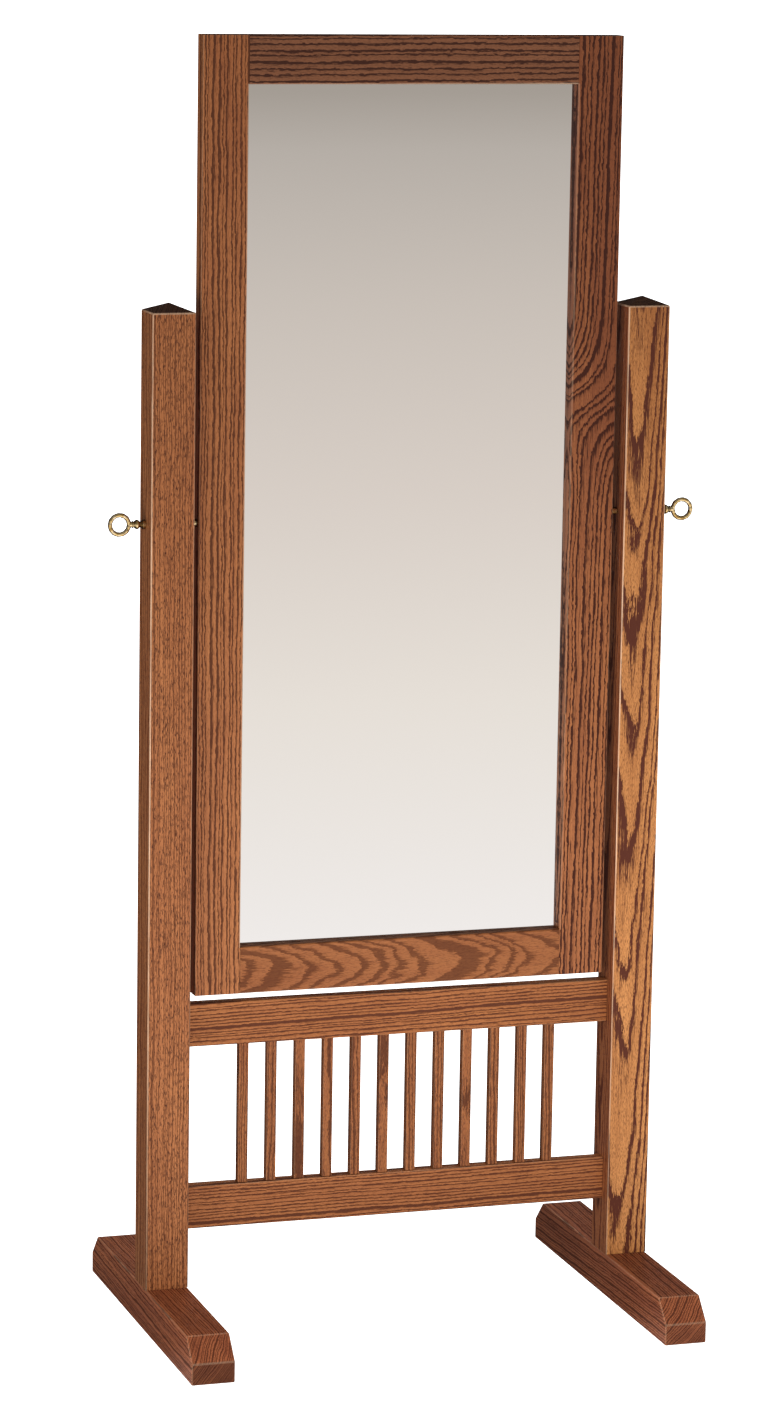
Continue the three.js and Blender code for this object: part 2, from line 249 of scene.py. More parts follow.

# %% [markdown]
# ## Stained red oak
# Red oak is ring-porous: each year's growth starts with a band of large open pores, then closes to
# dense, smoother wood. A wiping stain gathers in the pores, so every year draws a dark, ragged line.
# Where a board is cut across the tree's rings at a slant the lines run straight; where it is cut
# flat they close into tall pointed arches.
#
# Both come from one idea, a solid texture: the rings are cylinders round the tree's heart, and each
# board cuts through them. The heart lies some way off each board's own axis and leans a little, so
# each board gets its own figure, and its end grain agrees with its faces.
#
# Stain never takes evenly: it goes darkest on end grain, and it wears off the arrises where hands
# reach. Painted shade also darkens the wood high on the frame and on the left face of a post, and a
# painted highlight lightens the arrises. A picture wrapped round each board could show all this from
# one side, but its edges would never meet.

# %% Oak
RING_MM = 5.0           # one year's growth
PORE_WIDTH_MM = 0.8     # real pores are 0.3 mm across, drawn wider so that they show
PORE_LENGTH_MM = 24.0
FLECK_MM = (0.7, 5.0)   # the short dark flecks between the pores, across and along the grain

GRAIN_TURN = {          # turns the board's grain direction onto Z
    "x": Matrix.Rotation(-math.pi / 2, 3, "Y"),
    "y": Matrix.Rotation(math.pi / 2, 3, "X"),
    "z": Matrix.Identity(3),
}


def stained_oak(name, grain, heart, lean, ring=RING_MM, wander=8.0, waviness=3.5, wiggle=0.1,
                contrast=1.0, flecks=0.4, light="#ad6c3a", mid="#93542c", dark="#431f11",
                end_dark=0.92, painted_shade_high=0.0, painted_shade_left=0.0, swirl=None):
    """Oak for one board, in millimetres. heart is a point on the tree's heart, lean is how fast the
    rings widen along the grain, wander and waviness are how far they stray slowly and quickly, and
    wiggle is a small unsteadiness, in rings. contrast is how dark the pores are, and flecks how dark
    the spaces between them. end_dark is how dark the end grain goes. The next two paint shade:
    how much darker the colour goes high up, and on faces that point left. swirl is (place, width,
    depth) of a stretch where the rings step over by twice the depth, as they do beside a branch."""
    material, tree = new_material(name)
    turn_to_grain = GRAIN_TURN[grain]

    def maths(operation, a, b=None, c=None, clamp=False):
        values = {i: v for i, v in enumerate((a, b, c)) if v is not None}
        return add(tree, "ShaderNodeMath", values, operation=operation, use_clamp=clamp).outputs[0]

    def vector(operation, a, b=None, out=0):
        values = {0: a} if b is None else {0: a, 1: b}
        return add(tree, "ShaderNodeVectorMath", values, operation=operation).outputs[out]

    def noise(place, across, along, detail, out="Fac"):
        """Noise whose grains are this many millimetres across and along the board."""
        stretched = vector("MULTIPLY", place, (1 / across, 1 / across, 1 / along))
        return add(tree, "ShaderNodeTexNoise", {"Vector": stretched, "Scale": 1.0,
                                                "Detail": detail}).outputs[out]

    # Millimetres from the heart, with the grain along Z.
    texture_place = add(tree, "ShaderNodeTexCoord").outputs
    board = add(tree, "ShaderNodeMapping", {
        "Vector": texture_place["Object"], "Rotation": turn_to_grain.to_euler(),
        "Scale": (1000, 1000, 1000), "Location": -(turn_to_grain @ Vector(heart))}).outputs[0]
    shift = add(tree, "ShaderNodeAttribute", attribute_name="board").outputs["Vector"]
    board = vector("ADD", board, vector("MULTIPLY", shift, (1000, 1000, 1000)))

    # The rings, bent by slow drift and by any swirl.
    slow = noise(board, 45, 260, 2.0, "Color")
    quick = noise(board, 16, 60, 1.0, "Color")
    drift = vector("MULTIPLY", vector("SUBTRACT", slow, (0.5, 0.5, 0.5)), (wander, wander, 0))
    waves = vector("MULTIPLY", vector("SUBTRACT", quick, (0.5, 0.5, 0.5)), (waviness, waviness, 0))
    bent = vector("ADD", vector("ADD", board, drift), waves)
    step = 0.0
    if swirl:
        centre, width, depth = swirl
        middle = turn_to_grain @ (Vector(centre) - Vector(heart))
        away = vector("SUBTRACT", bent, middle)
        along_swirl = maths("DIVIDE", add(tree, "ShaderNodeSeparateXYZ", {0: away}).outputs["Z"], width)
        near = maths("EXPONENT", maths("MULTIPLY", maths("MULTIPLY", along_swirl, along_swirl), -1.0))
        flatter = add(tree, "ShaderNodeVectorMath", {
            0: vector("MULTIPLY", away, (0.7, 0.0, 0.0)), "Scale": near}, operation="SCALE").outputs[0]
        bent = vector("SUBTRACT", bent, flatter)
        step = maths("MULTIPLY", maths("TANH", along_swirl), -depth)
    along = add(tree, "ShaderNodeSeparateXYZ", {0: board}).outputs["Z"]
    radius = vector("LENGTH", vector("MULTIPLY", bent, (1, 1, 0)), out="Value")
    radius = maths("ADD", maths("MULTIPLY_ADD", along, lean, radius), step)

    # Each year: a crisp start, a band of crowded pores that thins out, then dense late wood.
    streak = noise(board, 1.5, 50, 2.0)
    jag = noise(board, 0.9, 7, 1.0)
    wiggles = noise(board, 7, 9, 1.0)
    ragged = maths("MULTIPLY_ADD", streak, 0.35, maths("MULTIPLY_ADD", wiggles, wiggle,
                                                       maths("MULTIPLY", jag, 0.4)))
    years = maths("ADD", maths("DIVIDE", radius, ring), ragged)
    uneven = add(tree, "ShaderNodeTexNoise", {"W": maths("MULTIPLY", years, 0.45), "Scale": 1.0,
                                              "Detail": 1.0}, noise_dimensions="1D").outputs["Fac"]
    season = maths("FRACT", maths("MULTIPLY_ADD", uneven, 1.6, years))
    crowding = ramp(tree, season, [(0.0, grey(0.0)), (0.05, grey(1.0)), (0.24, grey(0.85)),
                                   (0.42, grey(0.35)), (0.62, grey(0.1)), (1.0, grey(0.0))])
    vessels = noise(board, PORE_WIDTH_MM, PORE_LENGTH_MM, 1.0)
    pore = maths("ADD", maths("MULTIPLY_ADD", crowding, 0.66, vessels), -0.73)
    pore = maths("MULTIPLY", pore, 7.0, clamp=True)
    fleck = maths("MULTIPLY", maths("SUBTRACT", noise(board, *FLECK_MM, 1.0), 0.52), 8.0, clamp=True)

    # The stain's colour: streaked, darker in the pores, and darkest on end grain, which drinks it.
    patch = noise(board, 28, 340, 2.0)
    tone = maths("MULTIPLY_ADD", streak, 1.1, maths("MULTIPLY_ADD", patch, 1.3, -0.85))
    height = add(tree, "ShaderNodeSeparateXYZ", {0: texture_place["Object"]}).outputs["Z"]
    # Painted shade: the colour goes darker from 0.9 m up to 1.5 m.
    shade_rising = add(tree, "ShaderNodeMapRange", {"Value": height, "From Min": 0.9, "From Max": 1.5})
    tone = maths("MULTIPLY_ADD", shade_rising.outputs[0], -painted_shade_high, tone)
    tone = maths("MULTIPLY_ADD", season, 0.3, tone, clamp=True)
    colour = mix(tree, tone, linear(mid), linear(light))
    # Painted shade on faces that point left: a darker, redder brown.
    to_left = vector("DOT_PRODUCT", texture_place["Normal"], (-1, 0, 0), out="Value")
    colour = mix(tree, maths("MULTIPLY", to_left, painted_shade_left, clamp=True), colour, linear("#87402a"))
    colour = mix(tree, maths("MULTIPLY", fleck, flecks), colour, linear(dark))
    colour = mix(tree, maths("MULTIPLY", pore, 0.92 * contrast), colour, linear(dark))
    facing = vector("DOT_PRODUCT", texture_place["Normal"],
                    turn_to_grain.inverted() @ Vector((0, 0, 1)), out="Value")
    end_grain = add(tree, "ShaderNodeMapRange", {
        "Value": maths("ABSOLUTE", facing), "From Min": 0.6, "From Max": 0.93, "To Max": end_dark})
    colour = mix(tree, end_grain.outputs[0], colour, linear("#1c0f0a"))
    # The arrises: partly worn, where the stain has been rubbed thin, and partly a painted highlight, the
    # pale line along a lit round. The line is fainter below 0.6 m.
    arris = add(tree, "ShaderNodeAttribute", attribute_name="arris").outputs["Fac"]
    fades_low_down = add(tree, "ShaderNodeMapRange", {"Value": height, "From Min": 0.0, "From Max": 0.6,
                                               "To Min": 0.4}).outputs[0]
    worn_and_highlit = maths("MULTIPLY", arris, maths("MULTIPLY_ADD", streak, 1.6, -0.1), clamp=True)
    worn_and_highlit = maths("MULTIPLY", worn_and_highlit, fades_low_down)
    colour = mix(tree, worn_and_highlit, colour, linear("#e6bf9d"))

    rough = maths("MULTIPLY_ADD", pore, 0.2, maths("MULTIPLY_ADD", streak, 0.10, 0.36))
    rough = maths("MULTIPLY_ADD", end_grain.outputs[0], 0.35, rough)
    depth = maths("MULTIPLY", maths("MULTIPLY_ADD", fleck, 0.4, pore), -1.0)
    relief = add(tree, "ShaderNodeBump", {"Height": depth, "Strength": 0.6, "Distance": 0.0003})
    shader = add(tree, "ShaderNodeBsdfPrincipled", {
        "Base Color": colour, "Roughness": rough, "Normal": relief.outputs[0], "IOR": 1.48,
        "Specular IOR Level": 0.2})
    add(tree, "ShaderNodeOutputMaterial", {"Surface": shader.outputs[0]})
    return material


print("oak rings are", RING_MM, "mm apart")

# %% [markdown]
# ## Boards with eased arrises
# A joiner never leaves a sharp arris: each edge gets a small round with a plane or sandpaper, and
# the stain then rubs thin there. The rounds also get a painted highlight, so that the edges read as
# fine light lines. Each board starts as a copy of its imported piece, which already has its mortises,
# tenons, rabbets and holes. The copy's loose triangles are merged, flat faces are joined up, and only
# the arrises that a hand would touch are rounded. Edges inside the joints stay sharp.

# %% Board tools
SAME = 2e-5             # two places closer than this, in metres, are the same
EASE = 0.0019           # the usual round on an arris
EASE_STEPS = 4


def merged_copy(node):
    """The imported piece's mesh with its doubles merged and its flat faces joined."""
    bm = bmesh.new()
    bm.from_mesh(frame["nodes"][node].data)
    bmesh.ops.remove_doubles(bm, verts=bm.verts, dist=SAME)
    bmesh.ops.dissolve_limit(bm, angle_limit=math.radians(0.5), verts=bm.verts, edges=bm.edges)
    return bm


def edges_on(bm, low=None, high=None, **planes):
    """The edges that lie on all these planes, such as x=0.29, and between two corners if given."""
    def fits(vert):
        on = all(abs(getattr(vert.co, axis) - value) < SAME for axis, value in planes.items())
        return on and (low is None or all(l - SAME < c < h + SAME
                                          for l, c, h in zip(low, vert.co, high)))
    return [e for e in bm.edges if all(fits(v) for v in e.verts)]


def ease(bm, edges, radius=EASE, wear_and_highlight=0.3):
    """Rounds edges over. The vertices inside a round are marked as arris, with how pale its line is: worn,
    and with a painted highlight.
    """
    layer = bm.verts.layers.float.get("arris") or bm.verts.layers.float.new("arris")
    made = bmesh.ops.bevel(bm, geom=edges, offset=radius, segments=EASE_STEPS, profile=0.5,
                           affect="EDGES", clamp_overlap=True)
    rounded = set(made["faces"])
    for face in rounded:
        face.smooth = True
    for vert in made["verts"]:
        if all(face in rounded for face in vert.link_faces):
            vert[layer] = wear_and_highlight


def wear_and_highlight_edge(bm, wear_and_highlight, **planes):
    """Sets how pale one eased arris is, worn and with a painted highlight: the vertices within a round's
    width of these planes.
    """
    layer = bm.verts.layers.float["arris"]
    for vert in bm.verts:
        if vert[layer] and all(abs(getattr(vert.co, axis) - value) < EASE
                               for axis, value in planes.items()):
            vert[layer] = wear_and_highlight


def as_mesh(name, bm):
    mesh = bpy.data.meshes.new(name)
    bm.to_mesh(mesh)
    bm.free()
    return mesh


def placed(name, mesh, material, body, slot, *nodes):
    """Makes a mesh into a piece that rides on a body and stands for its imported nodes."""
    piece = bpy.data.objects.new(name, mesh)
    bpy.context.scene.collection.objects.link(piece)
    mesh.materials.clear()
    mesh.materials.append(material)
    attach(piece, body)
    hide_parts(*nodes)
    return piece


def finished(name, bm, *where):
    """The same, straight from a bmesh."""
    return placed(name, as_mesh(name, bm), *where)


print("arrises are eased to", EASE * 1000, "mm")

# %% [markdown]
# ## The posts
# The posts are square, with a very low pyramid cut on top. The left one is cut across the rings, so
# its lines run dense and straight; the right one is flat-cut, with bold arches that point down. The
# long arrises and the rim under the pyramid are eased, and the front left arris is palest, rubbed
# thin and with the strongest painted highlight. The right post also has painted shade high up and on
# its left face.

# %% Posts
post_oaks = {
    "left": stained_oak("oak_left_post", "z", heart=(-520, 60, 4000), lean=0.004, ring=3.4,
                        contrast=0.6, flecks=0.9, end_dark=0.8, light="#b27143", mid="#955732"),
    "right": stained_oak("oak_right_post", "z", heart=(306, 8, 9200), lean=-0.034, ring=5.0,
                         contrast=1.08, flecks=0.65, end_dark=0.8, painted_shade_high=0.5, painted_shade_left=0.6,
                         light="#cd8b50", mid="#a66838", dark="#54281a"),
}
for side, oak in post_oaks.items():
    low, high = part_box(f"{side}_post")
    bm = merged_copy(f"{side}_post")
    corners = [v.co.z for v in bm.verts if abs(v.co.x - low.x) < SAME and abs(v.co.y - low.y) < SAME]
    shoulder = max(corners)
    arrises = [e for x in (low.x, high.x) for y in (low.y, high.y) for e in edges_on(bm, x=x, y=y)]
    rim = [e for e in edges_on(bm, z=shoulder) if e not in arrises]
    ease(bm, arrises + rim, wear_and_highlight=0.3)
    # The front left arris and the front rim under the pyramid: palest, worn and with a painted highlight.
    wear_and_highlight_edge(bm, 1.0, x=low.x, y=low.y)
    wear_and_highlight_edge(bm, 0.9, y=low.y, z=shoulder)
    finished(f"{side}_post_oak", bm, oak, "stand", "oak", f"{side}_post")
    print(side, "post: shoulder at", round(shoulder, 4), "m, eased", len(arrises) + len(rim), "edges")

# %% [markdown]
# ## The feet
# Each foot is the same square stock laid flat, with its two top corners cut off at a slant. The grain
# runs along it, so the slants show end grain. The arrises that cross the foot are found by their
# length, and only where two faces really meet at an angle.

# %% Feet
foot_oaks = {
    "left": stained_oak("oak_left_foot", "y", heart=(-740, 2600, 330), lean=0.012, ring=2.6,
                        contrast=0.85, flecks=0.5, end_dark=0.65, light="#c07046", mid="#86442a"),
    "right": stained_oak("oak_right_foot", "y", heart=(-60, 5200, 410), lean=-0.015, ring=2.9,
                         contrast=0.85, flecks=0.5, end_dark=0.4, light="#b96c44", mid="#82432b"),
}
for side, oak in foot_oaks.items():
    low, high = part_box(f"{side}_foot")
    bm = merged_copy(f"{side}_foot")
    sides = [e for x in (low.x, high.x) for e in edges_on(bm, x=x)]
    crossing = [e for e in bm.edges if abs(e.verts[0].co.x - e.verts[1].co.x) > high.x - low.x - SAME
                and e.calc_face_angle(0) > 0.2]
    # The eased arrises get a pale line, partly wear and partly a painted highlight.
    ease(bm, sides + crossing, wear_and_highlight=0.45)
    finished(f"{side}_foot_oak", bm, oak, "stand", "oak", f"{side}_foot")
    print(side, "foot: eased", len(sides) + len(crossing), "edges")

# %% [markdown]
# ## The two base rails
# These are thin boards on edge, tenoned into the posts. Only the four long arrises are eased: the
# shoulders stay crisp, because they have to close tight against the posts.

# %% Base rails
rail_oaks = {
    "upper": stained_oak("oak_upper_rail", "x", heart=(1500, -90, 760), lean=0.02, ring=4.6,
                         wander=5.0, waviness=2.5, wiggle=0.3, contrast=0.95, light="#ad6c3c",
                         mid="#91542e", dark="#4c2416"),
    "lower": stained_oak("oak_lower_rail", "x", heart=(4100, 80, 500), lean=0.012, ring=4.4,
                         wander=5.0, waviness=2.5, wiggle=0.3, contrast=0.95, light="#ab6a3c",
                         mid="#945630", dark="#4c2416"),
}
for place, oak in rail_oaks.items():
    low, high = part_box(f"{place}_rail")
    bm = merged_copy(f"{place}_rail")
    arrises = [e for y in (low.y, high.y) for z in (low.z, high.z)
               for e in edges_on(bm, y=y, z=z)]
    ease(bm, arrises, radius=0.0015)
    finished(f"{place}_rail_oak", bm, oak, "stand", "oak", f"{place}_rail")
    print(place, "rail: eased", len(arrises), "edges")

# %% [markdown]
# ## Two helpers for what repeats
# Copying a mesh in a loop would place the spindles and screws as well, but Geometry Nodes states the
# rule once, with its sizes as named inputs. One helper makes a tree with those inputs. The other runs
# it and keeps the result as a plain mesh, so that nothing has to be worked out again later.

# %% Geometry Nodes helpers
def new_tree(name, **inputs):
    """A node tree for a modifier, with one named input for each size. Returns the tree, its input
    node and its output node."""
    tree = bpy.data.node_groups.new(name, "GeometryNodeTree")
    kinds = {float: "NodeSocketFloat", int: "NodeSocketInt", Vector: "NodeSocketVector",
             bpy.types.Material: "NodeSocketMaterial", bpy.types.Object: "NodeSocketObject"}
    for label, value in inputs.items():
        tree.interface.new_socket(name=label, in_out="INPUT", socket_type=kinds[type(value)])
    tree.interface.new_socket(name="Mesh", in_out="OUTPUT", socket_type="NodeSocketGeometry")
    return tree, add(tree, "NodeGroupInput"), add(tree, "NodeGroupOutput")


def made_by(tree, name, **inputs):
    """Runs a tree with these inputs and returns its result as a plain mesh."""
    holder = bpy.data.objects.new(name, bpy.data.meshes.new(name))
    bpy.context.scene.collection.objects.link(holder)
    modifier = holder.modifiers.new(name, "NODES")
    modifier.node_group = tree
    for item in tree.interface.items_tree:
        if item.in_out == "INPUT":
            modifier[item.identifier] = inputs[item.name]
    evaluated = holder.evaluated_get(bpy.context.evaluated_depsgraph_get())
    mesh = bpy.data.meshes.new_from_object(evaluated)
    bpy.data.objects.remove(holder)
    return mesh


print("a tree's result becomes a mesh with new_from_object")

# %% [markdown]
# ## The spindles
# Between the rails stands a row of thin square sticks, all alike and evenly spaced. The tree lays a
# line of points at the pitch, puts a stick on each, and draws a random number that gives each stick
# its own piece of the tree. The stick is a rounded square swept up a line, so its arrises are soft
# along their length, with a smaller square tenon inside it that goes on into both rails. It ends in
# Realize Instances, so that what comes out is one plain mesh.

# %% Spindles
def spindle_row_tree(**inputs):
    tree, given, out = new_tree("spindle_row", **inputs)
    size = given.outputs
    half_run = add(tree, "ShaderNodeMath", {0: size["Count"], 1: -1.0}, operation="ADD")
    first = add(tree, "ShaderNodeMath", {0: half_run.outputs[0], 1: -0.5}, operation="MULTIPLY")
    start_x = add(tree, "ShaderNodeMath", {0: first.outputs[0], 1: size["Pitch"]},
                  operation="MULTIPLY")
    start = add(tree, "ShaderNodeCombineXYZ", {"X": start_x.outputs[0]})
    step = add(tree, "ShaderNodeCombineXYZ", {"X": size["Pitch"]})
    points = add(tree, "GeometryNodeMeshLine", {
        "Count": size["Count"], "Start Location": start.outputs[0], "Offset": step.outputs[0]})

    foot = add(tree, "ShaderNodeCombineXYZ", {"Z": size["Body Low"]})
    head = add(tree, "ShaderNodeCombineXYZ", {"Z": size["Body High"]})
    path = add(tree, "GeometryNodeCurvePrimitiveLine", {"Start": foot.outputs[0],
                                                        "End": head.outputs[0]})
    square = add(tree, "GeometryNodeCurvePrimitiveQuadrilateral", {"Width": size["Side"],
                                                                  "Height": size["Side"]})
    rounded = add(tree, "GeometryNodeFilletCurve", {
        "Curve": square.outputs[0], "Count": 4, "Radius": size["Ease"]}, mode="POLY")
    stick = add(tree, "GeometryNodeCurveToMesh", {
        "Curve": path.outputs[0], "Profile Curve": rounded.outputs[0], "Fill Caps": True})

    tenon_high = add(tree, "ShaderNodeMath", {0: size["Tenon High"], 1: size["Tenon Low"]},
                     operation="SUBTRACT")
    tenon_size = add(tree, "ShaderNodeCombineXYZ", {
        "X": size["Tenon Side"], "Y": size["Tenon Side"], "Z": tenon_high.outputs[0]})
    tenon_box = add(tree, "GeometryNodeMeshCube", {"Size": tenon_size.outputs[0]})
    middle_z = add(tree, "ShaderNodeMath", {0: size["Tenon High"], 1: size["Tenon Low"]},
                   operation="ADD")
    half_z = add(tree, "ShaderNodeMath", {0: middle_z.outputs[0], 1: 0.5}, operation="MULTIPLY")
    lift = add(tree, "ShaderNodeCombineXYZ", {"Z": half_z.outputs[0]})
    tenon = add(tree, "GeometryNodeTransform", {"Geometry": tenon_box.outputs["Mesh"],
                                                "Translation": lift.outputs[0]})
    union = add(tree, "GeometryNodeMeshBoolean", operation="UNION", solver="EXACT")
    tree.links.new(stick.outputs[0], union.inputs["Mesh 2"])
    tree.links.new(tenon.outputs[0], union.inputs["Mesh 2"])

    copies = add(tree, "GeometryNodeInstanceOnPoints", {"Points": points.outputs[0],
                                                        "Instance": union.outputs["Mesh"]})
    own_log = add(tree, "FunctionNodeRandomValue", {"Min": (-0.2, -0.2, 0.0), "Max": (0.2, 0.2, 9.0),
                                                    "Seed": size["Seed"]}, data_type="FLOAT_VECTOR")
    named = add(tree, "GeometryNodeStoreNamedAttribute", {
        "Geometry": copies.outputs[0], "Name": "board", "Value": own_log.outputs[0]},
        data_type="FLOAT_VECTOR", domain="INSTANCE")
    real = add(tree, "GeometryNodeRealizeInstances", {0: named.outputs[0]})
    painted = add(tree, "GeometryNodeSetMaterial", {"Geometry": real.outputs[0],
                                                    "Material": size["Oak"]})
    tree.links.new(painted.outputs[0], out.inputs["Mesh"])
    return tree


def mark_arrises(mesh):
    """Marks the rounded edges of square sticks, a vertex whose normal lies between two faces, with a pale
    line that is partly wear and partly a painted highlight.
    """
    across = np.array([v.normal.xy.normalized() for v in mesh.vertices])
    slant = (1 - np.abs(across).max(axis=1)) / (1 - math.sqrt(0.5))
    wear_and_highlight = 0.4 * np.clip(slant, 0, 1)
    mesh.attributes.new("arris", "FLOAT", "POINT").data.foreach_set("value", wear_and_highlight)


spindles = sorted(n for n in frame["nodes"] if n.startswith("spindle_"))
low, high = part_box(spindles[0])
next_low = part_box(spindles[1])[0]
body_gap = 0.0003
sizes = {
    "Count": len(spindles), "Pitch": next_low.x - low.x, "Side": high.x - low.x, "Ease": 0.0011,
    "Body Low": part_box("lower_rail")[1].z + body_gap, "Body High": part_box("upper_rail")[0].z - body_gap,
    "Tenon Low": low.z, "Tenon High": high.z, "Tenon Side": 0.009, "Seed": 7,
    "Oak": stained_oak("oak_spindles", "z", heart=(40, -60, 15000), lean=0.01, ring=3.6,
                       contrast=0.8, flecks=0.7, light="#a46537", mid="#85492a"),
}
row = made_by(spindle_row_tree(**sizes), "spindle_row", **sizes)
mark_arrises(row)
for polygon in row.polygons:
    polygon.use_smooth = False
placed("spindle_row", row, sizes["Oak"], "stand", "oak", *spindles)
print(len(spindles), "spindles", round(sizes["Pitch"] * 1000, 1), "mm apart, in", len(row.polygons),
      "faces")

# %% [markdown]
# ## The mirror frame
# Two full-height stiles with a rail between them at top and bottom. The long outer arrises are eased
# like the posts'. Round the glass the edge gets a slightly larger round, but only where it borders
# the opening, so each stile is first cut across at the height of the rails' inner edges, and only the
# middle stretch is rounded. The joints then stay as fine straight lines.

# %% Frame
sight_low_x, sight_high_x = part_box("left_stile")[1].x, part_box("right_stile")[0].x
sight_low_z, sight_high_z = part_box("frame_bottom_rail")[1].z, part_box("frame_top_rail")[0].z
SIGHT_EASE = 0.0022

frame_oaks = {
    # Both stiles get painted shade high up, the right one most.
    "left_stile": stained_oak("oak_left_stile", "z", heart=(-480, 90, 21000), lean=0.003, ring=5.2,
                              wiggle=0.5, contrast=0.9, painted_shade_high=0.2, light="#b37243", mid="#985a35"),
    "right_stile": stained_oak("oak_right_stile", "z", heart=(130, 30, 25500), lean=-0.01, ring=6.4,
                               wiggle=0.5, contrast=1.08, painted_shade_high=0.7,
                               swirl=((262, -12, 1195), 70, 30),
                               light="#b06e41", mid="#854b2d", dark="#3f1c10"),
    "frame_top_rail": stained_oak("oak_top_rail", "x", heart=(31000, -40, 1790), lean=0.004,
                                  ring=7.0, wiggle=0.5, light="#8d5b3e", mid="#784b32",
                                  dark="#38190f"),
    "frame_bottom_rail": stained_oak("oak_bottom_rail", "x", heart=(37000, 34, 470), lean=0.17,
                                     ring=6.0, waviness=7.0, wiggle=0.3, contrast=0.65,
                                     light="#a2653a", mid="#8a4f2c"),
}
stiles = {      # where the sight edge and the outer edge are, and how pale the sight edge is, worn and with a painted highlight
    "left_stile": (sight_low_x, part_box("left_stile")[0].x, 0.6),
    "right_stile": (sight_high_x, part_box("right_stile")[1].x, 0.2),
}
for stile, (sight_x, outer_x, wear_and_highlight) in stiles.items():
    low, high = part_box(stile)
    bm = merged_copy(stile)
    for z in (sight_low_z, sight_high_z):
        bmesh.ops.bisect_plane(bm, geom=bm.verts[:] + bm.edges[:] + bm.faces[:], dist=1e-7,
                               plane_co=(0, 0, z), plane_no=(0, 0, 1))
    arrises = [e for y in (low.y, high.y) for e in edges_on(bm, x=outer_x, y=y)]
    rims = [e for z in (low.z, high.z) for e in edges_on(bm, z=z)
            if abs(e.verts[0].co.x - e.verts[1].co.x) > SAME or abs(e.verts[0].co.x - outer_x) < SAME]
    sight = edges_on(bm, low=(-1, -1, sight_low_z), high=(1, 1, sight_high_z), x=sight_x, y=low.y)
    ease(bm, list(set(arrises + rims)))
    ease(bm, [e for e in sight if e.is_valid], SIGHT_EASE, wear_and_highlight=wear_and_highlight)
    finished(f"{stile}_oak", bm, frame_oaks[stile], "mirror", "oak", stile)
    print(stile, "eased", len(arrises), "long,", len(rims), "end and", len(sight), "sight edges")

frame_rails = {     # where the sight edge and the outer edge are
    "frame_bottom_rail": (sight_low_z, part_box("frame_bottom_rail")[0].z),
    "frame_top_rail": (sight_high_z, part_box("frame_top_rail")[1].z),
}
for rail, (sight_z, outer_z) in frame_rails.items():
    low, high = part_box(rail)
    bm = merged_copy(rail)
    arrises = [e for y in (low.y, high.y) for e in edges_on(bm, z=outer_z, y=y)]
    sight = edges_on(bm, z=sight_z, y=low.y)
    ease(bm, arrises)
    # The sight edge's pale lip is mostly a painted highlight, with some wear.
    ease(bm, sight, SIGHT_EASE, wear_and_highlight=0.8)
    finished(f"{rail}_oak", bm, frame_oaks[rail], "mirror", "oak", rail)
    print(rail, "eased", len(arrises), "outer and", len(sight), "sight edges")

# %% [markdown]
# ## The silvered glass
# A looking glass is float glass with silver on its back, under a coat of grey paint. From the front
# the eye meets only the silver's reflection, so the front face is made a mirror. The ground edges show
# the glass itself, which is green in depth, and the back shows the paint. Which is which comes from
# the way each face points. The edges are seamed, which is a narrow slanted grinding that takes the
# sharpness off.

# %% Glass
SEAM = 0.0006


def facing_share(tree, direction, low, high):
    """1 where the surface points along this direction, fading to 0 away from it."""
    normal = add(tree, "ShaderNodeTexCoord").outputs["Normal"]
    facing = add(tree, "ShaderNodeVectorMath", {0: normal, 1: direction}, operation="DOT_PRODUCT")
    return add(tree, "ShaderNodeMapRange", {"Value": facing.outputs["Value"], "From Min": low,
                                            "From Max": high}).outputs[0]


def noise_mm(tree, millimetres, detail=2.0, stretch=(1, 1, 1)):
    """Noise whose grains are this many millimetres across, in the object's own space."""
    place = add(tree, "ShaderNodeTexCoord").outputs["Object"]
    scaled = add(tree, "ShaderNodeMapping", {"Vector": place, "Scale": [1 / s for s in stretch]})
    return add(tree, "ShaderNodeTexNoise", {"Vector": scaled.outputs[0], "Scale": 1000 / millimetres,
                                            "Detail": detail}).outputs["Fac"]


def silvered_glass():
    material, tree = new_material("silvered_float_glass")
    front = facing_share(tree, (0, -1, 0), 0.9, 0.99)
    back = facing_share(tree, (0, 1, 0), 0.9, 0.99)
    edge = mix(tree, noise_mm(tree, 3), linear("#4f7d6b"), linear("#7fa694"))
    paint = mix(tree, noise_mm(tree, 14), linear("#5d6163"), linear("#74787a"))
    colour = mix(tree, front, mix(tree, back, edge, paint), linear("#e2e0dc"))
    wiped = ramp(tree, noise_mm(tree, 60, 3.0, (3, 1, 1)), [(0.55, grey(0.0)), (1.0, grey(0.02))])
    rough = mix(tree, front, mix(tree, back, grey(0.3), grey(0.6)), wiped)
    shader = add(tree, "ShaderNodeBsdfPrincipled", {"Base Color": colour, "Metallic": front,
                                                    "Roughness": rough, "IOR": 1.52})
    add(tree, "ShaderNodeOutputMaterial", {"Surface": shader.outputs[0]})
    return material


low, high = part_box("mirror_glass")
bm = merged_copy("mirror_glass")
seamed = [e for e in bm.edges if e.calc_face_angle(0) > 1]
bmesh.ops.bevel(bm, geom=seamed, offset=SEAM, segments=1, affect="EDGES")
finished("mirror_glass_pane", bm, silvered_glass(), "mirror", "mirror_glass", "mirror_glass")
print("the glass is", [round(v * 1000, 1) for v in high - low], "mm, with", len(seamed), "seamed edges")

# %% [markdown]
# ## The backing panel
# A thin sheet of plywood closes the back. Its face is one peeled sheet of pale wood, with long soft
# figure and short pores. Its edges show three layers, with the middle one cut across and so darker.
# The layers are a step pattern through the thickness, shown only where the surface points sideways.

